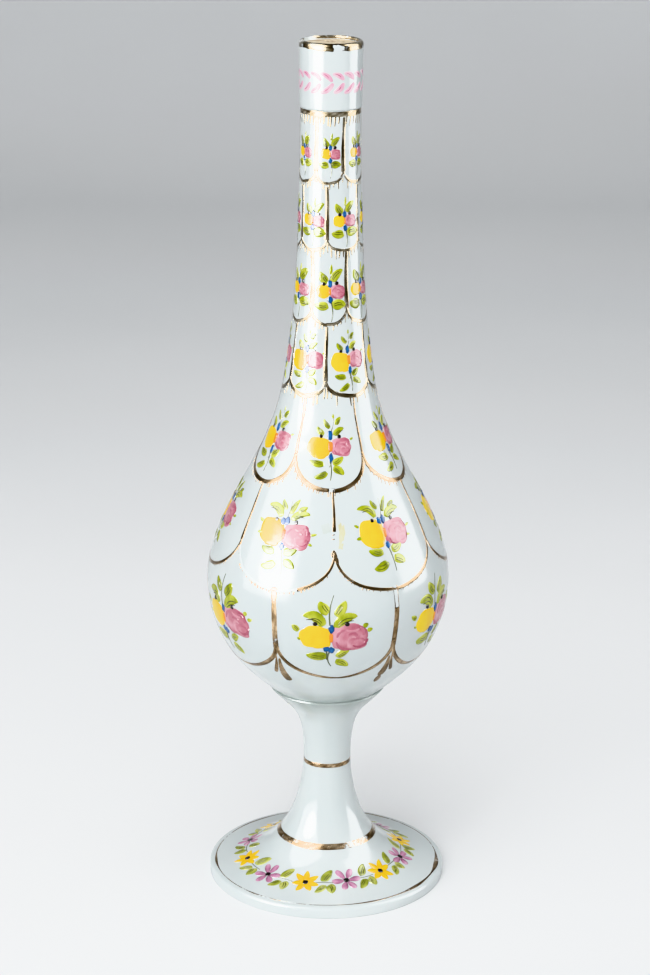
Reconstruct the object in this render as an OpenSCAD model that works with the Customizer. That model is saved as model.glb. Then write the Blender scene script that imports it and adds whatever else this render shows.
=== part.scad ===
// Footed rosewater sprinkler in opal glass.
// Millimetres, +Z up, the foot stands on z = 0 and every piece is turned about Z.

/* [Foot] */
// Radius of the foot at its rim
foot_r = 39.5; // [32:0.5:50]
// Height of the foot's upright rim
rim_h = 3.8; // [2.5:0.1:5]
// Rounding of the rim's upper edge
rim_round = 1.2; // [0.3:0.1:1.8]
// Height of the seat that the stem is joined to
foot_h = 14.6; // [11:0.1:20]
// Fall of the foot's top where it leaves the stem, in degrees
foot_fall = 50; // [40:1:56]
// Fall of the foot's top where it reaches the rim, in degrees
rim_fall = 9; // [5:1:14]
// Width of the flat ring that the foot stands on
standing_w = 5.5; // [3:0.5:9]
// Depth of the hollow under the foot
hollow_h = 3.4; // [1:0.1:3.8]
// Radius of the ground mark left where the rod was broken off
pontil_r = 7; // [4:0.5:10]
// Depth of that ground mark
pontil_h = 0.5; // [0.2:0.1:0.8]

/* [Stem] */
// Radius of the stem where it meets the foot
stem_base_r = 16.1; // [12:0.1:19]
// Length of the stem from the foot to the waist
stem_h = 25.9; // [18:0.1:36]
// Radius of the waist, the thinnest place
waist_r = 7.9; // [6:0.1:10]
// Slope of the stem where it meets the foot, in degrees
stem_slope = 49; // [42:1:65]

/* [Cup] */
// Length of the cup from the waist to its lip
cup_h = 27.1; // [22:0.1:34]
// Radius of the cup's lip
cup_r = 19.1; // [16:0.1:22]
// Slope of the cup's side under the lip, in degrees
cup_slope = 50; // [43:1:56]
// Width of the ledge that the lip leaves round the bulb
ledge_w = 0.45; // [0.2:0.05:0.9]

/* [Bottle] */
// Largest radius of the bulb
bulb_r = 39.7; // [34:0.1:46]
// Height of the bulb's widest ring above the cup's lip
bulb_low_h = 37.9; // [34:0.1:44]
// Height of the shoulder above the bulb's widest ring
shoulder_h = 50; // [44:0.1:60]
// Radius of the shoulder, where the bulb turns into the neck
shoulder_r = 19.5; // [17:0.1:23]
// Lean of the wall at the shoulder from upright, in degrees
shoulder_lean = 19.5; // [14:0.5:26]
// Length of the neck from the shoulder to the collar
neck_h = 104.8; // [80:0.1:130]
// Radius of the neck at its top
neck_r = 9.5; // [9:0.1:11]
// Slope of the bulb's wall where it enters the cup, in degrees
bulb_slope = 42; // [38:1:46]
// How far the bulb's bottom reaches down into the cup
bulb_sink = 8; // [6:0.1:10]
// Thickness of the blown wall
wall = 2.2; // [1.4:0.1:3.2]

/* [Mouth] */
// Height of the collar
collar_h = 20.7; // [14:0.1:30]
// Radius of the collar at its top
collar_top_r = 10.05; // [9.9:0.05:12]
// Radius of the collar at its bottom
collar_low_r = 9.8; // [9.8:0.05:12]
// Rounding of the collar's lip
lip_round = 1.1; // [0.4:0.1:1.3]
// Rounding of the collar's lower edge
collar_round = 0.5; // [0.2:0.1:0.8]
// Radius of the straight bore in the neck and the collar
bore_r = 7.3; // [5.5:0.1:7.6]
// Length of the straight bore in the neck, below the collar
bore_h = 14; // [6:1:30]
// Radius of the recess in the lip that the rose lies in
recess_r = 8.7; // [8:0.1:8.8]
// Depth of that recess
recess_h = 1.9; // [1.2:0.1:2.6]

/* [Sprinkler] */
// Thickness of the brass rose
rose_t = 0.8; // [0.5:0.1:1]
// Rise of the rose's dome
rose_rise = 0.8; // [0.3:0.1:1.4]
// Diameter of a sprinkling hole
hole_d = 1.1; // [0.7:0.1:1.4]
// Distance from one ring of holes to the next
hole_pitch = 2.05; // [1.7:0.05:2.1]
// Rings of holes round the middle one
hole_rings = 2; // [1:1:2]
// Outer radius of the ferrule
ferrule_r = 5.2; // [4.8:0.1:5.4]
// Wall of the ferrule
ferrule_t = 0.6; // [0.4:0.1:0.8]
// Thickness of the lip at the ferrule's lower end
ferrule_lip_t = 0.8; // [0.5:0.1:1.2]
// How far that lip stands out under the cork
ferrule_lip_w = 1.1; // [0.5:0.1:1.4]
// Length of the cork bush
cork_h = 15; // [8:1:22]
// Taper of the cork bush from its top to its bottom, on the radius
cork_taper = 0.35; // [0:0.05:0.5]
// Clearance all round between the insert and the glass
fit_gap = 0.08; // [0.03:0.01:0.1]

/* [Hidden] */
$fn = 96;
steps = 14;
round_steps = 5;
opal = [0.88, 0.92, 0.93];
brass = [0.66, 0.52, 0.30];
cork = [0.62, 0.46, 0.30];

// Heights of the joins, from the foot upwards
waist_z = foot_h + stem_h;
lip_z = waist_z + cup_h;
bulb_z = lip_z + bulb_low_h;
shoulder_z = bulb_z + shoulder_h;
neck_z = shoulder_z + neck_h;
mouth_z = neck_z + collar_h;
recess_z = mouth_z - recess_h;
cork_z = recess_z - cork_h;

// Unit direction at an angle, and that direction turned left by a right angle
function dir(a) = [cos(a), sin(a)];
function left(v) = [-v[1], v[0]] / norm(v);

// Point and travel of the cubic curve through a to d at t, pulled by b and c
function bez(p, t) = p[0] * pow(1 - t, 3) + 3 * p[1] * t * pow(1 - t, 2)
    + 3 * p[2] * t * t * (1 - t) + p[3] * pow(t, 3);
function travel(p, t) = (p[1] - p[0]) * pow(1 - t, 2)
    + 2 * (p[2] - p[1]) * t * (1 - t) + (p[3] - p[2]) * t * t;

// The curve as points, moved to its left by off
function curve(p, off = 0, n = steps) =
    [for (i = [0:n]) bez(p, i / n) + off * left(travel(p, i / n))];

// Curve from a to b that leaves at angle aa and arrives at angle ba
function sweep(a, aa, ah, b, ba, bh) = [a, a + ah * dir(aa), b - bh * dir(ba), b];

// Quarter round at an edge, from the angle a to the angle b about c
function arc(c, r, a, b) =
    [for (i = [0:round_steps]) c + r * dir(a + (b - a) * i / round_steps)];

// Outer curves, each drawn from its upper end to its lower one
foot_curve = sweep([stem_base_r, foot_h], -foot_fall, 0.68 * foot_h,
                   [foot_r - rim_round, rim_h], -rim_fall, 0.25 * foot_r);
stem_curve = sweep([waist_r, waist_z], -90, 0.02 * stem_h,
                   [stem_base_r, foot_h], -stem_slope, 0.44 * stem_h);
cup_side_z = lip_z - ledge_w;
cup_curve = sweep([cup_r, cup_side_z], 180 + cup_slope, 0.41 * cup_h,
                  [waist_r, waist_z], -90, 0.71 * cup_h);
bulb_foot = [cup_r - ledge_w, lip_z];
neck_curve = sweep([neck_r, neck_z], -90, 0.84 * neck_h,
                   [shoulder_r, shoulder_z], shoulder_lean - 90, 0.05 * neck_h);
upper_curve = sweep([shoulder_r, shoulder_z], shoulder_lean - 90, 0.26 * shoulder_h,
                    [bulb_r, bulb_z], -90, 0.33 * shoulder_h);
lower_curve = sweep([bulb_r, bulb_z], -90, 0.6 * bulb_low_h,
                    bulb_foot, 180 + bulb_slope, 0.2 * bulb_low_h);
under_curve = sweep(bulb_foot, 180 + bulb_slope, 0.45 * cup_r,
                    [0, lip_z - bulb_sink], 180, 0.35 * cup_r);

// The bulb's underside, which the cup is shaped to
under_points = curve(under_curve, n = 8);

// Closed outline of the bottle's outside, and of the space inside it
function but_first(v) = [for (i = [1:len(v) - 1]) v[i]];
bottle_outside = concat(curve(neck_curve), but_first(curve(upper_curve)),
                        but_first(curve(lower_curve)), but_first(under_points));
bore_end_z = neck_z - bore_h;
bottle_inside = [for (p = concat(curve(neck_curve, -wall), but_first(curve(upper_curve, -wall)),
                                 but_first(curve(lower_curve, -wall)),
                                 but_first(curve(under_curve, -wall, 8))))
                 if (p[1] < bore_end_z - 2 && p[0] >= 0) p];

// Solid of revolution in glass from an outline
module turned(points) {
    color(opal) rotate_extrude() polygon(points);
}

// Spreading foot, hollowed below inside a flat standing ring, with a ground pontil mark
module foot() {
    hollow_r = foot_r - standing_w;
    hollow = [for (i = [0:steps]) let (r = hollow_r * (1 - i / steps))
              [r, hollow_h * (1 - pow(r / hollow_r, 2))]];
    edge = 0.4;
    color(opal) difference() {
        rotate_extrude() polygon(concat(
            [[0, foot_h]], curve(foot_curve),
            arc([foot_r - rim_round, rim_h - rim_round], rim_round, 90, 0),
            arc([foot_r - edge, edge], edge, 0, -90), hollow));
        translate([0, 0, -1]) cylinder(r = pontil_r, h = 1 + hollow_h + pontil_h);
    }
}

// Solid stem that flares from the waist to the foot
module stem() {
    turned(concat([[0, waist_z]], curve(stem_curve), [[0, foot_h]]));
}

// Solid cup that carries the bulb, with a small rounded lip as its ledge
module cup() {
    lip = arc([cup_r - ledge_w, cup_side_z], ledge_w, 90, 0);
    seat = [for (i = [len(under_points) - 1:-1:0]) under_points[i]];
    turned(concat([[0, waist_z]], seat, lip, curve(cup_curve)));
}

// Bulb and long neck, blown in one, open at the top through the straight bore
module bottle() {
    color(opal) difference() {
        rotate_extrude() polygon(concat([[0, neck_z]], bottle_outside));
        rotate_extrude() polygon(concat(
            [[0, neck_z + 1], [bore_r, neck_z + 1], [bore_r, bore_end_z]],
            bottle_inside, [[0, lip_z - bulb_sink + wall]]));
    }
}

// Collar joined to the neck's end, bored through and recessed for the rose
module mouth_collar() {
    color(opal) difference() {
        rotate_extrude() polygon(concat(
            [[0, neck_z]],
            arc([collar_low_r - collar_round, neck_z + collar_round], collar_round, -90, 0),
            arc([collar_top_r - lip_round, mouth_z - lip_round], lip_round, 0, 90),
            [[0, mouth_z]]));
        translate([0, 0, neck_z - 1]) cylinder(r = bore_r, h = collar_h + 2);
        translate([0, 0, recess_z]) cylinder(r = recess_r, h = recess_h + 1);
    }
}

// Brass rose: a flat rim in the lip's recess round a low dome with rings of holes
module rose() {
    rim_r = recess_r - fit_gap;
    soft = rose_t / 4;
    dome_r = ferrule_r;
    ball_r = (pow(dome_r, 2) + pow(rose_rise, 2)) / (2 * rose_rise);
    ball_z = recess_z + rose_rise - ball_r;
    color(brass) difference() {
        union() {
            rotate_extrude() polygon(concat(
                [[0, recess_z], [0, recess_z + rose_t]],
                arc([rim_r - soft, recess_z + rose_t - soft], soft, 90, 0), [[rim_r, recess_z]]));
            intersection() {
                translate([0, 0, ball_z + rose_t]) sphere(ball_r);
                translate([0, 0, recess_z]) cylinder(r = rim_r, h = rose_t + 2 * rose_rise);
            }
        }
        translate([0, 0, ball_z]) sphere(ball_r);
        for (ring = [0:hole_rings], i = [0:max(1, 6 * ring) - 1])
            rotate(i * 360 / max(1, 6 * ring)) translate([ring * hole_pitch, 0, recess_z - 1])
                cylinder(d = hole_d, h = rose_t + rose_rise + 2, $fn = 24);
    }
}

// Brass ferrule that hangs from the rose and holds the cork on its out-turned lip
module ferrule() {
    lip_low = cork_z - ferrule_lip_t;
    color(brass) difference() {
        translate([0, 0, lip_low]) union() {
            cylinder(r = ferrule_r, h = recess_z - lip_low);
            cylinder(r = ferrule_r + ferrule_lip_w, h = ferrule_lip_t);
        }
        translate([0, 0, lip_low - 1])
            cylinder(r = ferrule_r - ferrule_t, h = recess_z - lip_low + 2);
    }
}

// Cork bush round the ferrule, a little tapered, that grips the collar's bore
module cork_bush() {
    grip_r = bore_r - fit_gap;
    soft = 0.4;
    color(cork) difference() {
        rotate_extrude() polygon([
            [0, recess_z], [grip_r, recess_z], [grip_r - cork_taper, cork_z + soft],
            [grip_r - cork_taper - soft, cork_z], [0, cork_z]]);
        translate([0, 0, cork_z - 1]) cylinder(r = ferrule_r, h = cork_h + 2);
    }
}

foot();
stem();
cup();
bottle();
mouth_collar();
rose();
ferrule();
cork_bush();
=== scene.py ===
"""Footed rosewater sprinkler in opal glass, with painted bouquets in a gilt scale pattern."""
import math

import bmesh
import bpy
import numpy as np
from mathutils import Matrix, Vector


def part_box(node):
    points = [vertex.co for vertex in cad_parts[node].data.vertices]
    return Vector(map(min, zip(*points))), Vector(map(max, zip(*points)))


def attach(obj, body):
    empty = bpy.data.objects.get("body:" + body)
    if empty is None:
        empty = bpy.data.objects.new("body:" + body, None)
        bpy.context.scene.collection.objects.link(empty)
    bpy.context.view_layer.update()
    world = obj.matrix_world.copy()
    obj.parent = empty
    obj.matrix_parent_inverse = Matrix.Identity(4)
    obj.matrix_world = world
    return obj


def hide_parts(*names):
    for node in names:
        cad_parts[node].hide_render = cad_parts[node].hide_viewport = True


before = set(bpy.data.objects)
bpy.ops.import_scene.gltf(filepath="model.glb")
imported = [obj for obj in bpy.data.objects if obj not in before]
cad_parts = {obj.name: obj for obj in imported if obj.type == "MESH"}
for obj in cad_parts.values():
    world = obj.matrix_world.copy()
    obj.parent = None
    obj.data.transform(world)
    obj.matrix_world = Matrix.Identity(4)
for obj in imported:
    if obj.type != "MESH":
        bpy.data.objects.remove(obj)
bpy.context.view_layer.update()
RNG = np.random.default_rng(11)
MM = 0.001

# Sizes in millimetres, read from the solids
FOOT_R, FOOT_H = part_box("foot")[1].x / MM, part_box("foot")[1].z / MM
STEM_R, WAIST_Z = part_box("stem")[1].x / MM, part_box("stem")[1].z / MM
CUP_R, LIP_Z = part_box("cup")[1].x / MM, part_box("cup")[1].z / MM
BULB_R, NECK_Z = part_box("bottle")[1].x / MM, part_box("bottle")[1].z / MM
BULB_LOW_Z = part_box("bottle")[0].z / MM
COLLAR_R, MOUTH_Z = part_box("mouth_collar")[1].x / MM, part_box("mouth_collar")[1].z / MM
ROSE_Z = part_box("rose")[0].z / MM

# Sizes of the blown shape between those solids' corners
WAIST_R = 7.9
LEDGE_W = 0.45
BULB_Z = LIP_Z + 37.9
SHOULDER_Z = BULB_Z + 50.0
SHOULDER_R = 19.5
SHOULDER_LEAN = 19.5
NECK_R = 9.5
BORE_R = 7.3
BORE_H = 14.0
RECESS_R = 8.7
COLLAR_LOW_R = 9.8
WALL = 2.2
RIM_H = 3.8
HOLLOW_H = 3.4
STANDING_W = 5.5
PONTIL_R = 7.0
PONTIL_H = 0.5

# Thickness of the painted coats above the glass, and how deep their edges sink in it
ENAMEL_T = 0.09
GILT_T = 0.03
SINK = 0.03

# Share of the light that a surface seen as full white sends back
SHARE = 0.8


def direction(degrees):
    """Unit vector at an angle from the radial axis."""
    a = math.radians(degrees)
    return np.array([math.cos(a), math.sin(a)])


def bezier(a, angle_a, pull_a, b, angle_b, pull_b, count=48):
    """Cubic curve from a to b: it leaves along angle_a and arrives along angle_b, held by the pulls."""
    a, b = np.asarray(a, float), np.asarray(b, float)
    c, d = a + pull_a * direction(angle_a), b - pull_b * direction(angle_b)
    t = np.linspace(0, 1, count)[:, None]
    return a * (1 - t) ** 3 + 3 * c * t * (1 - t) ** 2 + 3 * d * t ** 2 * (1 - t) + b * t ** 3


def arc(centre, radius, start, end, count=7):
    """Circular arc about centre from one angle to another."""
    a = np.radians(np.linspace(start, end, count))[:, None]
    return np.asarray(centre) + radius * np.hstack([np.cos(a), np.sin(a)])


def chain(*stretches):
    """Outlines joined end to end, each first point that repeats the last one left out."""
    points = [np.atleast_2d(np.asarray(s, float)) for s in stretches]
    joined = np.vstack(points)
    keep = np.r_[True, np.linalg.norm(np.diff(joined, axis=0), axis=1) > 1e-6]
    return joined[keep]


def inset(outline, depth):
    """The outline moved to its left, into the glass, along its own normal."""
    step = np.gradient(outline, axis=0)
    step /= np.linalg.norm(step, axis=1)[:, None]
    return outline + depth * np.stack([-step[:, 1], step[:, 0]], 1)


# Outlines of the glass, all drawn upwards
RIM_ROUND = 1.2
FOOT_EDGE = 0.4
COLLAR_ROUND = 0.5
LIP_ROUND = 1.1
LIP_LOW_Z = MOUTH_Z - LIP_ROUND
FOOT_TOP = bezier((FOOT_R - RIM_ROUND, RIM_H), 171, 0.25 * FOOT_R,
                  (STEM_R, FOOT_H), 130, 0.68 * FOOT_H)
FOOT_SIDE = chain(arc((FOOT_R - FOOT_EDGE, FOOT_EDGE), FOOT_EDGE, -90, 0),
                  arc((FOOT_R - RIM_ROUND, RIM_H - RIM_ROUND), RIM_ROUND, 0, 90))
STEM_SIDE = bezier((STEM_R, FOOT_H), 131, 0.44 * (WAIST_Z - FOOT_H),
                   (WAIST_R, WAIST_Z), 90, 0.02 * (WAIST_Z - FOOT_H))
CUP_SIDE = bezier((WAIST_R, WAIST_Z), 90, 0.71 * (LIP_Z - WAIST_Z),
                  (CUP_R, LIP_Z - LEDGE_W), 50, 0.41 * (LIP_Z - WAIST_Z))
CUP_LIP = arc((CUP_R - LEDGE_W, LIP_Z - LEDGE_W), LEDGE_W, 0, 90)
BULB_FOOT = (CUP_R - LEDGE_W, LIP_Z)
UNDERSIDE = bezier((0, BULB_LOW_Z), 0, 0.35 * CUP_R, BULB_FOOT, 42, 0.45 * CUP_R, 16)
LOWER = bezier(BULB_FOOT, 42, 0.20 * (BULB_Z - LIP_Z),
               (BULB_R, BULB_Z), 90, 0.60 * (BULB_Z - LIP_Z))
UPPER = bezier((BULB_R, BULB_Z), 90, 0.33 * (SHOULDER_Z - BULB_Z),
               (SHOULDER_R, SHOULDER_Z), 90 + SHOULDER_LEAN, 0.26 * (SHOULDER_Z - BULB_Z))
NECK = bezier((SHOULDER_R, SHOULDER_Z), 90 + SHOULDER_LEAN, 0.05 * (NECK_Z - SHOULDER_Z),
              (NECK_R, NECK_Z), 90, 0.84 * (NECK_Z - SHOULDER_Z), 80)
COLLAR_SIDE = chain(arc((COLLAR_LOW_R - COLLAR_ROUND, NECK_Z + COLLAR_ROUND), COLLAR_ROUND, -90, 0),
                    arc((COLLAR_R - LIP_ROUND, LIP_LOW_Z), LIP_ROUND, 0, 90))

# The whole visible skin from the foot's edge to the mouth, and the distance along it
SKIN = chain(FOOT_SIDE, FOOT_TOP, STEM_SIDE, CUP_SIDE, CUP_LIP, LOWER, UPPER, NECK, COLLAR_SIDE)
ALONG = np.r_[0, np.cumsum(np.linalg.norm(np.diff(SKIN, axis=0), axis=1))]
TANGENT = np.gradient(SKIN, ALONG, axis=0)
TANGENT /= np.linalg.norm(TANGENT, axis=1)[:, None]


def at_height(z):
    """Distance along the skin at which the bottle, stem or collar reaches a height."""
    first = len(FOOT_SIDE) + len(FOOT_TOP) - 2
    return np.interp(z, SKIN[first:, 1], ALONG[first:])


def at_radius(r):
    """Distance along the skin at which the foot's top has a radius."""
    first, last = len(FOOT_SIDE) - 1, len(FOOT_SIDE) + len(FOOT_TOP) - 2
    return np.interp(-r, -SKIN[first:last, 0], ALONG[first:last])


def hand(angle, z):
    """How far blown glass strays from true, in mm: three slow waves, lower towards the foot."""
    return (0.10 * np.sin(2 * angle + 0.021 * z + 0.6) + 0.05 * np.sin(3 * angle - 0.043 * z)
            + 0.05 * np.sin(angle + 0.083 * z + 2.0)) * np.clip(z / 60 + 0.25, 0, 1)


def on_skin(angle, along, lift):
    """Points in metres at an angle from the front and a distance along the skin, raised by lift."""
    r, z = np.interp(along, ALONG, SKIN[:, 0]), np.interp(along, ALONG, SKIN[:, 1])
    tr, tz = np.interp(along, ALONG, TANGENT[:, 0]), np.interp(along, ALONG, TANGENT[:, 1])
    out = r + hand(angle, z) + lift * tz
    return MM * np.stack([out * np.sin(angle), -out * np.cos(angle), z - lift * tr], -1)


# Meshes from grids of points

def grid_faces(rows, columns, wrap=False):
    """Corner numbers of a grid's quads, each wound right, then up. wrap joins the last column to
    the first one."""
    i = np.arange(rows - 1)[:, None]
    j = np.arange(columns if wrap else columns - 1)[None, :]
    k = (j + 1) % columns
    quads = [i * columns + j, i * columns + k, (i + 1) * columns + k, (i + 1) * columns + j]
    return np.stack(quads, -1).reshape(-1, 4)


def mesh_piece(name, points, faces, material, body="glass", tone=None, weld=True, hidden=()):
    """A piece from points in metres and quads, riding on a body. tone is a number for each point.
    hidden are more faces, flat ones, which close it below the glass."""
    mesh = bpy.data.meshes.new(name)
    mesh.from_pydata(points.reshape(-1, 3).tolist(), [], faces.tolist() + list(hidden))
    smooth = np.r_[np.ones(len(faces), bool), np.zeros(len(hidden), bool)]
    mesh.polygons.foreach_set("use_smooth", smooth)
    if tone is not None:
        layer = mesh.attributes.new("tone", "FLOAT", "POINT")
        layer.data.foreach_set("value", np.asarray(tone, np.float32).ravel())
    if weld:
        work = bmesh.new()
        work.from_mesh(mesh)
        bmesh.ops.remove_doubles(work, verts=work.verts, dist=2e-7)
        work.to_mesh(mesh)
        work.free()
    mesh.materials.append(material)
    piece = bpy.data.objects.new(name, mesh)
    bpy.context.scene.collection.objects.link(piece)
    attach(piece, body)
    return piece


def turned(name, outer, inner, material, segments=192):
    """Surface of revolution: the outer outline, drawn upwards, strays by hand, and the inner one,
    drawn back down, is true. The inner one's first and last points close it."""
    outline = np.vstack([outer, inner])
    stray = np.r_[np.ones(len(outer)), np.zeros(len(inner))][:, None]
    angle = np.arange(segments)[None, :] * 2 * math.pi / segments
    r, z = outline[:, :1], outline[:, 1:] + 0 * angle
    out = r + stray * hand(angle, z) * (r > 1)
    points = MM * np.stack([out * np.sin(angle), -out * np.cos(angle), z], -1)
    loop = np.concatenate([points, points[:1]])
    piece = mesh_piece(name, loop, grid_faces(len(loop), segments, wrap=True), material)
    return piece


class Coat:
    """Painted motifs gathered into one piece. Each motif is a grid of points with a tone."""

    def __init__(self):
        self.points, self.tones, self.faces = [], [], []
        self.under, self.ends = [], []
        self.count = 0

    def add(self, points, tone):
        """One more motif: its grid of points on the skin, with the quads that close it from below."""
        rows, columns = points.shape[:2]
        self.faces.append(grid_faces(rows, columns) + self.count)
        left = np.arange(rows) * columns + self.count
        right = left + columns - 1
        self.under.append(np.stack([right[:-1], left[:-1], left[1:], right[1:]], -1))
        end = np.arange(columns) + self.count
        self.ends += [end[::-1].tolist(), (end + (rows - 1) * columns).tolist()]
        self.points.append(points.reshape(-1, 3))
        self.tones.append(np.broadcast_to(tone, (rows, columns)).reshape(-1))
        self.count += rows * columns

    def piece(self, name, material, slot):
        """All the motifs as one piece."""
        return mesh_piece(name, np.vstack(self.points), np.vstack(self.faces), material,
                          tone=np.concatenate(self.tones), weld=False,
                          hidden=np.vstack(self.under).tolist() + self.ends)


def band(name, points, material, tone):
    """A gilt band right round the glass, closed inside it from its first row to its last."""
    rows, columns = points.shape[:2]
    j, last = np.arange(columns), (rows - 1) * columns
    k = (j + 1) % columns
    mesh_piece(name, points, grid_faces(rows, columns, wrap=True), material, tone=tone,
               hidden=np.stack([k, j, last + j, last + k], -1).tolist())


def spot(angle, along, u, v):
    """Angle and distance along the skin of the place u mm right and v mm up from a spot."""
    up = along + v
    return angle + u / np.interp(up, ALONG, SKIN[:, 0]), up


def off_by(angle, middle):
    """Degrees from a middle, which is in degrees, to an angle round the glass: -180 to 180."""
    return (np.degrees(angle) - middle + 180) % 360 - 180


def beside(path, width, a):
    """How far right and up from each point of a path, in mm, the shares a of its half width lie."""
    step = np.gradient(path, axis=0)
    step /= np.maximum(np.linalg.norm(step, axis=1), 1e-9)[:, None]
    half = np.broadcast_to(np.asarray(width, float) / 2, len(path))[:, None] * a
    return half * step[:, 1:], -half * step[:, :1]


def stroke(coat, where, path, width, thick, tone=0.5, columns=7, base=0.0, ends=0.5):
    """A brush stroke: the path, in mm about `where`, carried across by its width. With a from -1
    to 1 across and t from 0 to 1 along, its height is (1 - |a|^3) times 16 t (1 - t), or 1 where
    that is more, to the power `ends`: it falls to below the glass at its edges and ends."""
    a, t = np.linspace(-1, 1, columns), np.linspace(0, 1, len(path))[:, None]
    right, up = beside(path, width, a)
    body = (1 - np.abs(a) ** 3)[None, :] * np.clip(16 * t * (1 - t), 0, 1) ** ends
    lift = base + (thick + SINK) * body - SINK
    angle, along = spot(where[0], where[1], path[:, :1] + right, path[:, 1:] + up)
    coat.add(on_skin(angle, along, lift), tone)


def curve_uv(start, end, bend=0.0, count=12):
    """Path from start to end that bows to its left by bend times its length."""
    start, end = np.asarray(start, float), np.asarray(end, float)
    t = np.linspace(0, 1, count)[:, None]
    side = np.array([-(end - start)[1], (end - start)[0]])
    return start + (end - start) * t + side * bend * 4 * t * (1 - t)


def leaf(coats, where, start, end, width, bend=0.0, veins=2):
    """A leaf: a stroke that swells past its base and runs out to a tip, with dark vein strokes."""
    path = curve_uv(start, end, bend, 14)
    t = np.linspace(0, 1, len(path))
    body = width * np.sin(math.pi * (0.06 + 0.94 * t) ** 0.80) ** 0.62
    across = np.linspace(-1, 1, 7)
    shade = 0.20 + 0.45 * RNG.random() + 0.30 * np.sin(4 * t + RNG.uniform(0, 6))[:, None] * across
    stroke(coats["leaf"], where, path, body, ENAMEL_T, shade, ends=0.25)
    way = path[-1] - path[0]
    side = np.array([-way[1], way[0]]) / np.linalg.norm(way)
    lean = RNG.choice([-1, 1])
    for k in range(veins):
        off = lean * (0.20 - 0.26 * k) * width
        a = path[1] + side * off * 0.5
        b = path[0] + way * RNG.uniform(0.62, 0.86) + side * off * 0.6
        stroke(coats["vein"], where, curve_uv(a, b, bend + lean * (0.07 - 0.05 * k), 9),
               (0.20 + 0.06 * width) * np.sin(math.pi * np.linspace(0.08, 0.94, 9)) ** 0.6, ENAMEL_T * 0.6,
               0.5, 5, ENAMEL_T * 0.8)


def blob(coat, where, centre, size, lobes=0.06, count=5, thick=ENAMEL_T, tone=None, n=17, base=0.0,
         square=0.0):
    """A flat-topped drop of enamel: a square grid pressed into a disc by x sqrt(1 - y^2 / 2) and
    y sqrt(1 - x^2 / 2), its outline waved by lobes, its height 1 - max(|x|, |y|)^6. square keeps
    some of the square's corners. tone is a function of the distance from the middle and the angle
    round it."""
    q = np.linspace(-1, 1, n)
    x, y = np.meshgrid(q, q)
    press = 0.5 * (1 - square)
    dx, dy = x * np.sqrt(1 - y * y * press), y * np.sqrt(1 - x * x * press)
    rho, theta = np.hypot(dx, dy), np.arctan2(dy, dx)
    wave = 1 + lobes * np.sin(count * theta + RNG.uniform(0, 6.28)) * rho
    wave += 0.4 * lobes * np.sin((count + 4) * theta + RNG.uniform(0, 6.28)) * rho
    u, v = centre[0] + dx * wave * size[0] / 2, centre[1] + dy * wave * size[1] / 2
    lift = base + (thick + SINK) * (1 - np.maximum(np.abs(x), np.abs(y)) ** 6) - SINK
    shade = np.full_like(rho, 0.5) if tone is None else tone(rho, theta)
    angle, along = spot(where[0], where[1], u, v)
    coat.add(on_skin(angle, along, lift), shade)


# Procedural finishes

def linear(r, g, b):
    """Colour in scene units from the 0 to 255 values that it shows on a screen, in this light."""
    c = np.array([r, g, b]) / 255
    return (*(SHARE * np.where(c <= 0.04045, c / 12.92, ((c + 0.055) / 1.055) ** 2.4)).tolist(), 1.0)


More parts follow.
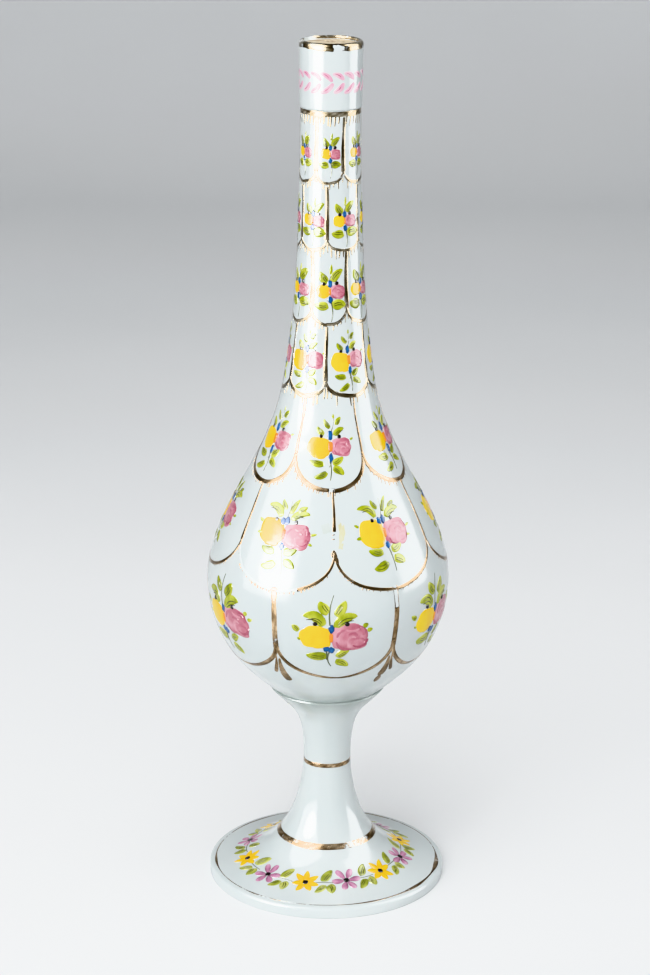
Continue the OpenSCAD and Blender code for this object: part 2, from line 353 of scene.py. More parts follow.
class Finish:
    """A material on one Principled shader, with short calls for the nodes that feed it."""

    def __init__(self, name, **sockets):
        self.material = bpy.data.materials.new(name)
        self.material.use_nodes = True
        self.tree = self.material.node_tree
        self.shader = self.tree.nodes["Principled BSDF"]
        for socket, value in sockets.items():
            self.shader.inputs[socket.replace("_", " ")].default_value = value

    def node(self, kind, links=None, **values):
        """A new node with its properties and unlinked sockets set, and other nodes linked to it."""
        made = self.tree.nodes.new(kind)
        for key, value in values.items():
            if hasattr(made, key):
                setattr(made, key, value)
            else:
                made.inputs[key.replace("_", " ")].default_value = value
        for socket, source in (links or {}).items():
            self.tree.links.new(source, made.inputs[socket])
        return made

    def put(self, socket, source):
        """A socket set to a value or a colour, or linked to another node's output."""
        if isinstance(source, (float, tuple)):
            socket.default_value = source
        else:
            self.tree.links.new(source, socket)

    def place(self, stretch=(1, 1, 1)):
        """Object coordinates, stretched by a Mapping node."""
        where = self.node("ShaderNodeTexCoord").outputs["Object"]
        return self.node("ShaderNodeMapping", {"Vector": where}, Scale=stretch).outputs["Vector"]

    def noise(self, scale, detail=4.0, rough=0.55, stretch=(1, 1, 1)):
        """Noise through the piece, scale waves to the metre."""
        return self.node("ShaderNodeTexNoise", {"Vector": self.place(stretch)}, Scale=scale,
                         Detail=detail, Roughness=rough).outputs["Fac"]

    def ramp(self, source, *stops):
        """Colour ramp through (position, colour) stops."""
        made = self.node("ShaderNodeValToRGB", {"Fac": source})
        while len(made.color_ramp.elements) < len(stops):
            made.color_ramp.elements.new(0.5)
        for element, (position, colour) in zip(made.color_ramp.elements, stops):
            element.position = position
            element.color = colour
        return made.outputs["Color"]

    def level(self, source, low, high, new_low, new_high):
        """A number moved from one span to another."""
        return self.node("ShaderNodeMapRange", {"Value": source}, From_Min=low, From_Max=high,
                         To_Min=new_low, To_Max=new_high).outputs["Result"]

    def mix(self, fac, a, b):
        """Colour a turned to b by a factor."""
        made = self.node("ShaderNodeMix", data_type="RGBA")
        for k, source in ((0, fac), (6, a), (7, b)):
            self.put(made.inputs[k], source)
        return made.outputs[2]

    def math(self, operation, a, b):
        """An operation on two numbers, each a node's output or a value."""
        made = self.node("ShaderNodeMath", operation=operation)
        self.put(made.inputs[0], a)
        self.put(made.inputs[1], b)
        return made.outputs[0]

    def tone(self):
        """The tone that the motifs of a coat carry at each point."""
        return self.node("ShaderNodeAttribute", attribute_name="tone").outputs["Fac"]

    def feed(self, socket, source):
        """A node's output linked to a socket of the shader."""
        self.tree.links.new(source, self.shader.inputs[socket])

    def bump(self, source, strength, distance):
        """Relief from a number, up to a distance in metres."""
        made = self.node("ShaderNodeBump", {"Height": source}, Strength=strength, Distance=distance)
        self.feed("Normal", made.outputs["Normal"])


def opal_finish():
    """Opal glass: blue-white, clouded a little, polished, with faint ripples, a few seeds, and painted
    shade: a darker grey-green in the crease over the ledge."""
    f = Finish("opal_glass", IOR=1.42, Subsurface_Weight=0.18, Subsurface_Scale=0.004)
    f.shader.inputs["Subsurface Radius"].default_value = (0.8, 0.95, 1.0)
    cloud = f.ramp(f.noise(14.0, 3.0), (0.30, linear(196, 204, 205)), (0.70, linear(210, 216, 216)))
    seeds = f.node("ShaderNodeTexVoronoi", {"Vector": f.place()}, Scale=260.0, Randomness=1.0)
    speck = f.level(seeds.outputs["Distance"], 0.03, 0.09, 1.0, 0.0)
    sparse = f.level(f.noise(90.0, 2.0), 0.60, 0.66, 0.0, 0.45)
    skin = f.mix(f.math("MULTIPLY", speck, sparse), cloud, linear(176, 170, 156))
    # Painted shade: within a few mm above and below the ledge the glass turns a darker grey-green, standing
    # in for the shade in the crease
    height = f.node("ShaderNodeSeparateXYZ", {"Vector": f.place()}).outputs["Z"]
    from_ledge = f.math("ABSOLUTE", f.math("SUBTRACT", height, LIP_Z * MM), 0.0)
    crease = f.level(from_ledge, 0.0004, 0.0065, 0.85, 0.0)
    painted_crease_shade = f.math("MULTIPLY", crease, f.level(f.noise(60.0, 3.0), 0.30, 0.62, 0.35, 1.0))
    f.feed("Base Color", f.mix(painted_crease_shade, skin, linear(146, 157, 152)))
    f.feed("Roughness", f.level(f.noise(55.0, 5.0), 0.3, 0.7, 0.09, 0.17))
    f.bump(f.noise(38.0, 2.0, stretch=(1, 1, 0.35)), 0.12, 0.0006)
    return f.material


# Colours of the gilding from dark to light: brown on the bulb and the foot, paler and greyer above. All are
# far darker than gold, a painted reflection of dark surroundings in the gilding
BROWN = (linear(88, 75, 58), linear(146, 124, 96), linear(216, 192, 160))
CREAM = (linear(76, 67, 53), linear(150, 138, 114), linear(230, 219, 196))


def gilt_finish(name, wear, size=120.0, colours=BROWN):
    """Fired gilding: warm gold darkened to brown, a painted reflection of dark surroundings, brushed thin in
    streaks and rubbed through to the white glass. The higher wear is, the more is rubbed away, in places of
    which `size` lie to the metre. A tone below zero rubs a place through."""
    f = Finish(name, IOR=1.42)
    fine = f.noise(900.0, 4.0, 0.6)
    age = f.math("ADD", f.level(f.tone(), 0.0, 1.0, -0.22, 0.22),
                 f.level(f.noise(210.0, 5.0, 0.6), 0.0, 1.0, 0.15, 0.85))
    gold = f.ramp(age, *zip((0.30, 0.50, 0.72), colours))
    gold = f.mix(f.level(fine, 0.50, 0.62, 0.0, 0.5), gold, linear(60, 48, 36))
    rubbed = f.math("ADD", f.level(f.noise(size, 3.0), 0.0, 1.0, -0.5, 0.5),
                    f.level(f.noise(1100.0, 4.0), 0.0, 1.0, 0.2, 0.8))
    rubbed = f.math("ADD", rubbed, f.level(f.tone(), -1.0, 0.0, -0.5, 0.0))
    kept = f.level(rubbed, 0.24 + wear, 0.38 + wear, 0.0, 1.0)
    f.feed("Base Color", f.mix(kept, linear(208, 214, 215), gold))
    f.feed("Metallic", kept)
    f.feed("Roughness", f.level(fine, 0.35, 0.65, 0.12, 0.28))
    f.bump(fine, 0.25, 0.00006)
    return f.material


def enamel_finish(name, pale, full, deep, streak=0.5):
    """Fired enamel: a colour that goes from pale to full to deep with the motif's tone, streaked
    by the brush, glossy and a little uneven."""
    f = Finish(name, IOR=1.42)
    brush = f.noise(420.0, 4.0, 0.6, (1.0, 1.0, 0.45))
    shade = f.math("ADD", f.tone(), f.level(brush, 0.3, 0.7, -streak / 2, streak / 2))
    f.feed("Base Color", f.ramp(shade, (0.0, linear(*pale)), (0.5, linear(*full)), (1.0, linear(*deep))))
    f.feed("Roughness", f.level(brush, 0.3, 0.7, 0.09, 0.20))
    f.bump(brush, 0.3, 0.00008)
    return f.material


OPAL = opal_finish()
GILT = gilt_finish("gilt_bulb", -0.10)
GILT_NECK = gilt_finish("gilt_neck", -0.02, 120.0, CREAM)
GILT_WORN = gilt_finish("gilt_worn", 0.08, 110.0)
GILT_LIP = gilt_finish("gilt_lip_worn", 0.04, 150.0, CREAM)
GILT_RIM = gilt_finish("gilt_rim_worn", 0.09, 70.0)
BOUQUET_PAINT = {
    "yellow": enamel_finish("yellow_enamel", (244, 216, 20), (238, 197, 0), (234, 178, 0), 0.25),
    "orange": enamel_finish("orange_enamel", (250, 180, 60), (242, 146, 30), (226, 120, 40), 0.3),
    "pink": enamel_finish("pink_enamel", (212, 158, 170), (184, 112, 128), (156, 72, 94), 0.35),
    "leaf": enamel_finish("leaf_enamel", (186, 190, 76), (148, 158, 22), (92, 104, 8), 0.6),
    "vein": enamel_finish("vein_enamel", (96, 100, 30), (56, 60, 20), (36, 36, 18), 0.4),
    "blue": enamel_finish("blue_enamel", (70, 130, 178), (24, 88, 148), (12, 46, 96), 0.5),
    "black": enamel_finish("black_enamel", (60, 50, 50), (26, 20, 20), (14, 10, 10), 0.3),
    "stem": enamel_finish("stem_enamel", (120, 128, 96), (88, 96, 66), (60, 64, 44), 0.6),
}
STAIN = enamel_finish("ochre_stain", (204, 206, 186), (200, 197, 166), (188, 180, 144), 0.8)
GREY_STAIN = enamel_finish("grey_stain", (202, 208, 207), (196, 202, 199), (186, 193, 188), 0.8)
WREATH_PAINT = {
    "yellow": BOUQUET_PAINT["yellow"],
    "mauve": enamel_finish("mauve_enamel", (222, 184, 202), (188, 130, 160), (124, 60, 98), 0.5),
    "leaf": enamel_finish("wreath_leaf", (190, 192, 112), (152, 160, 62), (98, 106, 30), 0.7),
    "vein": BOUQUET_PAINT["vein"],
    "heart": BOUQUET_PAINT["black"],
    "stem": BOUQUET_PAINT["stem"],
}
ROSE_PINK = enamel_finish("rose_enamel", (240, 210, 220), (224, 168, 190), (174, 90, 122), 0.6)


# Glass

def make_glass():
    """Five blown and joined pieces, each a closed surface of revolution in place of its solid."""
    hollow_r = FOOT_R - STANDING_W
    r = np.linspace(PONTIL_R, hollow_r, 24)
    bowl = np.stack([r, HOLLOW_H * (1 - (r / hollow_r) ** 2)], 1)
    pontil_top = HOLLOW_H + PONTIL_H
    under = chain([(0, FOOT_H), (0, pontil_top), (PONTIL_R, pontil_top)], bowl)
    made = {
        "foot": turned("foot_glass", chain(FOOT_SIDE, FOOT_TOP), under, OPAL),
        "stem": turned("stem_glass", STEM_SIDE, [(0, WAIST_Z), (0, FOOT_H)], OPAL),
        "cup": turned("cup_glass", chain(CUP_SIDE, CUP_LIP), chain(UNDERSIDE[::-1], [(0, WAIST_Z)]), OPAL),
    }
    inside = inset(chain(UNDERSIDE, LOWER, UPPER, NECK), WALL)
    inside = inside[(inside[:, 1] < NECK_Z - BORE_H - 2) & (inside[:, 0] > 0)]
    bore = [(BORE_R, NECK_Z), (BORE_R, NECK_Z - BORE_H)]
    well = chain(bore, inside[::-1], [(0, BULB_LOW_Z + WALL), (0, BULB_LOW_Z)])
    made["bottle"] = turned("bottle_glass", chain(UNDERSIDE, LOWER, UPPER, NECK), well, OPAL)
    mouth = [(RECESS_R + 0.25, MOUTH_Z), (RECESS_R, MOUTH_Z - 0.25), (RECESS_R, ROSE_Z),
             (BORE_R, ROSE_Z), (BORE_R, NECK_Z)]
    made["mouth_collar"] = turned("collar_glass", COLLAR_SIDE, mouth, OPAL)
    for node, piece in made.items():
        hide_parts(node)


make_glass()

# Scale pattern: rows of six cells from the collar down, counted from 0. The first four are on the
# neck and have the paler gilding, and one on the bulb is worn on its front
CELLS = 6
NECK_ROWS = 4
WORN_ROW = 5
LAST_ROW = 6


def around(*seen):
    """Six angles round the glass: those painted on its front, in degrees, and the rest spread behind."""
    rest = CELLS - len(seen)
    step = (seen[0] + 360 - seen[-1]) / (rest + 1)
    return np.radians(np.r_[seen, seen[-1] + step * np.arange(1, rest + 1)])


# Each row has its side lines' angles, the heights of their top, of the fork where they part into
# arcs and of the arcs' lowest point, the widths of line and arc, and the length of its fringe
ROW_SIZES = ("lines", "top", "fork", "low", "line", "arc", "fringe")
ROWS = [dict(zip(ROW_SIZES, row)) for row in (
    (around(-28, 24.5), 258.6, 241.0, 237.6, 1.6, 1.0, 2.6),
    (around(-59.8, -5.4, 58), 237.0, 219.4, 216.4, 1.6, 1.0, 3.2),
    (around(-30, 28.5), 216.6, 197.6, 193.0, 1.8, 1.1, 2.4),
    (around(-60, -4.6, 58.5), 192.6, 174.6, 170.2, 1.6, 1.5, 3.9),
    (around(-30, 31), 170.6, 152.6, 142.6, 0.9, 1.5, 2.5),
    (around(-53, 3.4, 63), 142.8, 124.4, 112.4, 1.15, 1.15, 1.3),
    (around(-25.5, 33.5), 113.6, 93.6, 82.1, 2.1, 1.45, 0.0),
)]

# Angles of the forks that the last row's arcs would meet in a row below it
LOWEST = around(-57, 5, 60)


def cells(row):
    """Angles of the middles of a row's cells."""
    lines = ROWS[row]["lines"]
    return (lines + np.r_[lines[1:], lines[0] + 2 * math.pi]) / 2


def skin_stroke(coat, angle, along, width, thick, tone=None, columns=7):
    """A stroke whose path is given as angles and distances along the skin, streaked if it has no tone."""
    r = np.interp(along, ALONG, SKIN[:, 0])
    path = np.stack([np.cumsum(np.r_[0, np.diff(angle)] * r), along - along[0]], 1)
    a, t = np.sin(np.linspace(-1, 1, columns) * math.pi / 2), np.linspace(0, 1, len(path))[:, None]
    right, up = beside(path, width, a)
    lift = (thick + SINK) * (1 - np.abs(a) ** 8) * np.clip(60 * t * (1 - t), 0, 1) ** 0.5 - SINK
    if tone is None:
        tone = streaks(len(path), columns)
    coat.add(on_skin(angle[:, None] + right / r[:, None], along[:, None] + up, lift), tone)


def waves(angle, counts, fade):
    """Sum of sines of random phase: for each count k, k waves to the turn, of height 1 / k^fade."""
    return sum(np.sin(k * angle + RNG.uniform(0, 6.28)) / k ** fade for k in counts)


def uneven(count, amount, width):
    """A brush's width along a line: the width with a few random swells."""
    return width * (1 + amount * waves(np.linspace(0, 2 * math.pi, count), (2, 3, 5), 1) / 2)


def streaks(rows, columns):
    """Tone of a loaded brush: darker and paler streaks that wander along the stroke."""
    t, a = np.linspace(0, 1, rows)[:, None], np.linspace(-1, 1, columns)[None, :]
    phase = RNG.uniform(0, 6.28, 3)
    return np.clip(0.5 + 0.22 * np.sin(3.1 * a + 5 * t + phase[0]) + 0.18 * np.sin(11 * t + phase[1])
                   + 0.15 * np.sin(7 * a - 17 * t + phase[2]), 0, 1)


def make_scales():
    """Gilt side lines that fork into arcs, with fringe strokes under them and drops at the last forks."""
    neck, bulb = (Coat(), Coat()), (Coat(), Coat())
    for n, row in enumerate(ROWS):
        lines, fringe = neck if n < NECK_ROWS else bulb
        top, fork, low = (at_height(row[k]) for k in ("top", "fork", "low"))
        below = ROWS[n + 1]["lines"] if n < LAST_ROW else LOWEST
        for side in row["lines"]:
            away = (below - side + math.pi) % (2 * math.pi) - math.pi
            draw_line(lines, n, side, top, fork)
            for reach in (away[away < 0].max(), away[away > 0].min()):
                draw_arc(lines, n, side, reach, fork, low)
                if row["fringe"]:
                    hang(fringe, n, side, reach, fork, low)
            if n == LAST_ROW:
                drops(lines, side, fork)
    under_band(neck[1])
    for name, (lines, fringe), gilt in (("neck", neck, GILT_NECK), ("bulb", bulb, GILT)):
        lines.piece(name + "_scales", gilt, "gilt_brass")
        fringe.piece(name + "_fringe", gilt, "gilt_brass")


def draw_line(coat, n, side, top, fork):
    """One side line, wider towards its fork. The one on the front of the worn row stops short and
    leaves two dots and a knot. Those of the last row end in a broad dab, and from the right of the
    front on they are rubbed through along their middle, near the top."""
    t = np.linspace(0, 1, 32)
    front = n == WORN_ROW and abs(side) < 0.2
    end = top + (fork - top) * (0.66 if front else 1.0)
    sway = 0.25 / np.interp(fork, ALONG, SKIN[:, 0]) * np.sin(5 * t + RNG.uniform(0, 6.28))
    swell = 0.88 + 0.14 * t if n == LAST_ROW else 0.62 + 0.44 * t ** 1.5
    width = uneven(32, 0.14, ROWS[n]["line"]) * swell
    tone = streaks(32, 7)
    if n == LAST_ROW and side > 0.4:
        tone -= 1.5 * (t < 0.38)[:, None] * (np.abs(np.linspace(-1, 1, 7)) < 0.5)
    skin_stroke(coat, side + sway * (1 - t), top + (end - top) * t, width, GILT_T, tone)
    if n == LAST_ROW:
        skin_stroke(coat, side + 0 * t[:12], fork + np.linspace(2.5, -1.2, 12),
                    np.linspace(1.7, 2.3, 12), GILT_T)
    if front:
        knot = curve_uv((-0.7, -2.2), (0.7, -2.0), 1.6, 16)
        stroke(coat, (side, fork + 1.0), knot, 0.75, GILT_T)
        stroke(coat, (side, fork + 1.0), curve_uv((0.6, -1.6), (0.75, -5.0), 0.05, 10),
               1.1 * np.sin(math.pi * np.linspace(0.05, 0.97, 10)) ** 0.7, GILT_T)
        for v in (4.6, 6.0):
            stroke(coat, (side, fork + v), curve_uv((-0.7, 0), (0.3, 0.25), 0.2, 6), 0.35, GILT_T)


# Shares of an arc between which it is rubbed away: its row, the angle of its line in degrees, its way. On
# the worn row, the arc right of the line at -53 degrees is taken out almost whole. This is partly wear and
# partly a painted highlight: the white glass stands in for gilding washed out by a reflection
RUBBED = {(WORN_ROW, -53, 1): (0.10, 1.0), (WORN_ROW, 3, -1): (0.72, 1.0), (NECK_ROWS, -30, 1): (0.9, 1.0)}
NOWHERE = (2, 2)


def draw_arc(coat, n, side, reach, fork, low):
    """One arc from a fork to the lowest point of a cell: a quarter of an ellipse that runs on a
    little past it. The last row's thin out towards the bottom, the others' swell."""
    bow = np.linspace(0, math.pi / 2 + 0.07, 34)
    t = bow / bow[-1]
    angle = side + reach * (1 - np.cos(bow))
    along = fork + 0.8 - (fork + 0.8 - low) * np.sin(bow) + 0.12 * np.sin(9 * t + RNG.uniform(0, 6.28))
    swell = 1.15 - 0.74 * t ** 4 if n == LAST_ROW else 0.62 + 0.42 * np.sin(2.2 * t)
    first, last = RUBBED.get((n, int(round(math.degrees(side))), 1 if reach > 0 else -1), NOWHERE)
    tone = streaks(34, 7) - 1.5 * ((t > first) & (t <= last))[:, None]
    skin_stroke(coat, angle, along, uneven(34, 0.16, ROWS[n]["arc"]) * swell, GILT_T * 1.1, tone)


def hang(coat, n, side, reach, fork, low):
    """Fringe strokes that hang from one arc, longest near the fork, and leave some gaps."""
    r = np.interp(low, ALONG, SKIN[:, 0])
    # The neck's last row has them thicker and further apart
    pitch = 1.55 if n == NECK_ROWS - 1 else 1.15
    breadth = 0.85 if n >= NECK_ROWS else 1.25 if n == NECK_ROWS - 1 else 1.1
    count = max(3, int(abs(reach) * r / pitch))
    for k in range(count):
        x = (k + 0.35 + RNG.uniform(-0.2, 0.2)) / count
        if RNG.random() < 0.10:
            continue
        bow = math.acos(max(0.0, 1 - x))
        start = fork + 0.8 - (fork + 0.8 - low) * math.sin(bow)
        length = ROWS[n]["fringe"] * RNG.uniform(0.65, 1.15) * (1.12 - 0.35 * x)
        path = curve_uv((0, 0.2), (RNG.uniform(-0.35, 0.15), -length), RNG.uniform(-0.05, 0.05), 8)
        stroke(coat, (side + reach * x, start), path,
               breadth * RNG.uniform(0.50, 0.74) * np.linspace(1.1, 0.5, 8), GILT_T * 0.9, 0.35, 5)


def under_band(coat):
    """Fringe strokes under the band below the collar, in groups that leave the lines free."""
    start = at_height(258.7)
    for angle in np.arange(0, 2 * math.pi, 1.28 / NECK_R):
        if np.min(np.abs(ROWS[0]["lines"] - angle)) < 0.09 or RNG.random() < 0.08:
            continue
        path = curve_uv((0.15, 0.3), (RNG.uniform(-0.4, 0.0), -RNG.uniform(2.5, 3.6)), 0.03, 8)
        stroke(coat, (angle, start), path, RNG.uniform(0.55, 0.78) * np.linspace(1.1, 0.6, 8),
               GILT_T * 0.9, 0.3, 5)


def drops(coat, side, fork):
    """Brush drops under a fork of the last row: a slim one and a broad one that is cut off at its end.

    Along its length, t from 0 to 1, a drop is (0.16 + 0.84 t) sqrt(1 - t^8) of its full width. From
    the right of the front on, a small blot lies past the end of the broad one.
    """
    t = np.linspace(0, 1, 14)
    drop = (0.16 + 0.84 * t) * (1 - t ** 8) ** 0.5
    blot = np.sin(math.pi * np.clip(t, 0.06, 0.94)) ** 0.6
    slim = ((-0.5, -3.2), (-2.6, -12.6), 0.04, 2.4 * drop)
    if side > 0.4:
        way = -1
        broad = ((0.5, -4.6), (1.3, -14.6), -0.06, 4.8 * drop)
        strokes = (slim, broad, ((1.0, -14.0), (1.2, -18.2), 0.0, 3.0 * blot))
    else:
        way = 1
        strokes = (slim, ((0.5, -4.6), (1.6, -16.6), -0.06, 4.8 * drop))
    for start, end, bend, width in strokes:
        path = curve_uv((start[0] * way, start[1]), (end[0] * way, end[1]), bend * way, 14)
        stroke(coat, (side, fork), path, width, GILT_T)


def ring(name, along, width, rough, material, swell=None):
    """A gilt band right round, with a from -1 to 1 across it: its height is 1 - |a|^5, its two
    edges waver by sums of sines, and swell widens it at some angles."""
    rows, columns = 9, 480
    angle = np.arange(columns) * 2 * math.pi / columns
    a = np.linspace(-1, 1, rows)[:, None]
    upper, lower = waves(angle, (3, 7, 12, 26), 0.7), waves(angle, (4, 9, 17, 31), 0.7)
    half = width / 2 * (1 + 0.25 * rough * np.where(a > 0, upper, lower))
    half = np.maximum(half, 0.06) * (1 if swell is None else swell(angle))
    lift = (GILT_T + SINK) * (1 - np.abs(a) ** 5) - SINK + 0 * angle
    points = on_skin(angle + 0 * a, along + 0.05 * upper + half * a, lift)
    tone = 0.5 + 0.3 * np.sin(7 * angle + 2 * a) * np.sin(3 * angle + 1)
    tone += 0.15 * np.sin(23 * angle - 4 * a)
    band(name, points, material, np.clip(tone, 0, 1))


def make_rings():
    """Gilt bands that run right round: under the collar, waist, base of the stem, foot's rim."""
    ring("gilt_collar_band", at_height(259.25), 1.9, 0.12, GILT_NECK)
    ring("gilt_waist_ring", at_height(40.5), 1.75, 0.14, GILT)
    ring("gilt_base_ring", at_height(14.7), 2.5, 0.20, GILT_WORN)
    ring("gilt_rim_line", at_radius(37.4), 0.34, 0.8, GILT_RIM, rim_swell)


# Smears of the line on the foot's rim: the angle of each in degrees, how many times its width it
# adds to the line, and its spread in degrees
SMEARS = ((82, 5.0, 9), (52, 3.2, 11), (22, 1.4, 9), (-84, 2.2, 7), (-38, 1.2, 5), (150, 2.5, 14),
          (-140, 2.0, 12))


def rim_swell(angle):
    """How the line on the rim widens: 1 plus a bell curve for each smear."""
    return 1 + sum(wide * np.exp(-(off_by(angle, middle) / spread) ** 2) for middle, wide, spread in SMEARS)


# Worn and whole places of the lip's gilding: angle and spread in degrees, and how deep it is rubbed
LIP_WEAR = ((12, 11, 1.9), (-100, 9, 1.2), (76, 7, 0.9), (-58, 13, 0.5), (-6, 6, 0.5), (29, 4, 0.5),
            (-30, 11, -0.5), (50, 13, -0.5))

# How far the collar's side leans out, in mm to the mm
COLLAR_LEAN = 0.0135


def make_lip():
    """Gilding on the lip: a skin over its rounded edge. The parameter t is 0 at its lower edge, a
    sum of sines round the collar, 1 where the rounding starts, and 2 at its inner edge in the recess."""
    columns = 360
    angle = np.arange(columns) * 2 * math.pi / columns
    inner = chain(arc((COLLAR_R - LIP_ROUND, LIP_LOW_Z), LIP_ROUND, 0, 90, 12),
                  [(RECESS_R, MOUTH_Z - 0.25), (RECESS_R, ROSE_Z + 1.0), (RECESS_R, ROSE_Z + 0.9)])
    facing = np.radians(np.r_[np.linspace(0, 90, 12), 160, 180, 180])
    t = np.r_[np.linspace(0, 1, 7), np.linspace(1, 2, 15)[1:]][:, None]
    low = MOUTH_Z - 2.15 + 0.30 * waves(angle, (2, 5, 9, 14, 23), 0.6)
    steps = np.linspace(0, 1, len(inner))
    r = np.where(t < 1, COLLAR_R, np.interp(t - 1, steps, inner[:, 0]))
    z = np.where(t < 1, low + (LIP_LOW_Z - low) * t, np.interp(t - 1, steps, inner[:, 1]))
    lift = np.clip(t * 6, 0, 1) * np.clip((2 - t) * 14, 0, 1) * (GILT_T + SINK) - SINK
    turn = np.where(t < 1, 0, np.interp(t - 1, steps, facing))
    out = r + lift * np.cos(turn) + hand(angle, z) + (t < 1) * (z - LIP_LOW_Z) * COLLAR_LEAN
    up = z + lift * np.sin(turn)
    points = MM * np.stack([out * np.sin(angle), -out * np.cos(angle), up], -1)
    tone = 0.6 + 0.3 * np.sin(5 * angle + 3 * t) * np.sin(2 * angle + 2)
    # The wear is whole on the outside and fades over the rounding
    outside = np.clip(2.2 - 1.2 * t, 0, 1)
    for middle, spread, depth in LIP_WEAR:
        tone = tone - depth * np.exp(-(off_by(angle, middle) / spread) ** 2) * outside
    band("gilt_lip", points, GILT_LIP, np.clip(tone, -1, 1))


make_scales()
make_rings()
make_lip()


# Flowers

def petal_tone(kind):
    """Tone of a flower: pink is deepest to one side in curling strokes, yellow towards the middle."""
    turn = RNG.uniform(-0.4, 0.4)
    if kind == "pink":
        return lambda rho, theta: (0.42 + 0.30 * rho * np.cos(theta - 0.3 + turn)
                                   + 0.28 * np.sin(7 * rho + 2 * theta + turn) * rho)
    return lambda rho, theta: 0.36 + 0.30 * rho * np.clip(np.cos(theta + turn), -0.5, 1)


# Curling strokes on a pink flower: place in shares of its size, direction in degrees, length in
# such shares, bend, tone
CURLS = ((-0.16, -0.26, -20, 0.50, -0.25, 0.80), (0.22, -0.20, 35, 0.44, -0.30, 0.90),
         (0.04, 0.02, 160, 0.32, -0.32, 0.72), (0.24, 0.18, 120, 0.32, -0.22, 0.66),
         (-0.24, 0.12, 70, 0.38, 0.22, 0.66), (0.02, 0.30, 175, 0.36, 0.20, 0.28),
         (0.02, -0.10, 10, 0.26, 0.35, 0.22))


def flower(coats, where, centre, size, kind):
    """One flower of a bouquet: a blob with a lower lobe, and on a pink one curling strokes."""
    centre, size = np.asarray(centre), np.asarray(size)
    if kind == "yellow":
        blob(coats[kind], where, centre, size, 0.035, 5, ENAMEL_T * 1.2, petal_tone(kind), 25, square=0.05)
        blob(coats[kind], where, centre + size * (RNG.uniform(0.0, 0.2), -0.22), size * 0.62, 0.05, 4,
             ENAMEL_T * 1.3, petal_tone(kind), 13, square=0.2)
        return
    blob(coats[kind], where, centre, size, 0.04, 5, ENAMEL_T * 1.2, petal_tone(kind), 21, square=0.12)
    blob(coats[kind], where, centre + size * (0.16, -0.24), size * (0.62, 0.56), 0.05, 4,
         ENAMEL_T * 1.35, petal_tone(kind), 13, square=0.1)
    for x, y, way, length, bend, tone in CURLS:
        way = math.radians(way + RNG.uniform(-18, 18))
        reach = length * RNG.uniform(0.85, 1.1) / 2 * np.array([math.cos(way), math.sin(way)]) * size
        middle = centre + size * (x + 0.04, y) + RNG.normal(0, 0.02, 2) * size
        width = 0.105 * size[0] * np.sin(math.pi * np.linspace(0.08, 0.92, 10)) ** 0.7
        stroke(coats["pink"], where, curve_uv(middle - reach, middle + reach, bend, 10), width,
               ENAMEL_T * 0.5, tone, 5, ENAMEL_T * 1.1)


# Bouquets in mm about their middle. Flowers and blue buds have their middle and size, leaves their
# base, tip, width and bend, stems their base, tip, bend and width, and black dots their middles, with
# one size for all
WIDE = {
    "yellow": ((-4.9, 0.2), (10.6, 8.3)), "pink": ((6.0, -0.1), (13.0, 9.6)),
    "orange": ((0.2, -0.2), (1.2, 3.2)),
    "leaves": [((-0.4, 8.6), (-3.4, 12.6), 3.7, 0.10), ((1.7, 7.4), (5.0, 12.2), 4.1, -0.06),
               ((-2.3, 3.9), (-9.2, 7.4), 4.0, -0.25), ((1.8, 3.0), (9.0, 7.0), 4.2, 0.20),
               ((-1.2, -6.9), (-8.2, -6.5), 4.3, 0.06), ((2.0, -7.8), (6.0, -5.4), 3.0, 0.10),
               ((1.3, -9.4), (5.5, -12.2), 3.6, 0.10), ((-10.2, 2.2), (-12.6, 4.2), 2.2, 0.0),
               ((-9.8, -1.0), (-10.8, -0.2), 1.0, 0.0), ((10.6, 3.2), (12.4, 4.1), 1.8, 0.0),
               ((12.0, 1.6), (14.0, 2.2), 1.6, 0.0)],
    "stems": [((-0.1, 4.0), (1.3, 14.6), 0.07, 0.62), ((-1.4, -5.0), (-1.4, -8.8), 0.03, 0.65),
              ((-0.4, -5.4), (0.2, -11.8), -0.14, 0.65)],
    "blue": [((0.3, 3.0), (2.0, 3.0)), ((-1.4, -4.3), (2.1, 2.2)), ((0.2, -4.8), (2.1, 2.4))],
    "black": [(-4.9, 4.9), (5.4, 4.5)], "dot": 1.55,
}
TALL = {
    "yellow": ((-3.8, -0.3), (7.9, 7.3)), "pink": ((3.6, 0.0), (7.2, 6.5)),
    "orange": ((0.1, 0.1), (1.5, 3.4)),
    "leaves": [((-2.1, 3.9), (-4.2, 6.7), 2.4, 0.1), ((-0.1, 6.2), (-1.9, 9.2), 1.9, 0.1),
               ((1.3, 3.7), (4.6, 6.2), 2.6, 0.14), ((1.9, 7.2), (3.6, 9.6), 2.0, 0.1),
               ((0.9, 9.3), (1.1, 10.8), 0.9, 0.0), ((-2.0, -5.6), (-6.9, -4.9), 2.7, 0.1),
               ((-1.0, -8.3), (-5.7, -10.4), 2.7, 0.1), ((0.7, -5.3), (4.3, -3.2), 2.8, -0.1),
               ((0.9, -7.0), (4.7, -9.2), 2.7, 0.1), ((6.6, 2.2), (7.6, 2.7), 0.9, 0.0)],
    "stems": [((0.1, 4.6), (1.0, 9.6), -0.05, 0.34), ((-0.5, -3.8), (0.0, -11.4), 0.08, 0.70),
              ((0.3, -4.6), (-0.4, -6.8), 0.1, 0.45)],
    "blue": [((-0.1, 3.8), (1.7, 3.2)), ((0.2, -3.6), (1.6, 2.9))],
    "black": [(-3.1, 3.5), (2.9, 3.4)], "dot": 1.3,
}
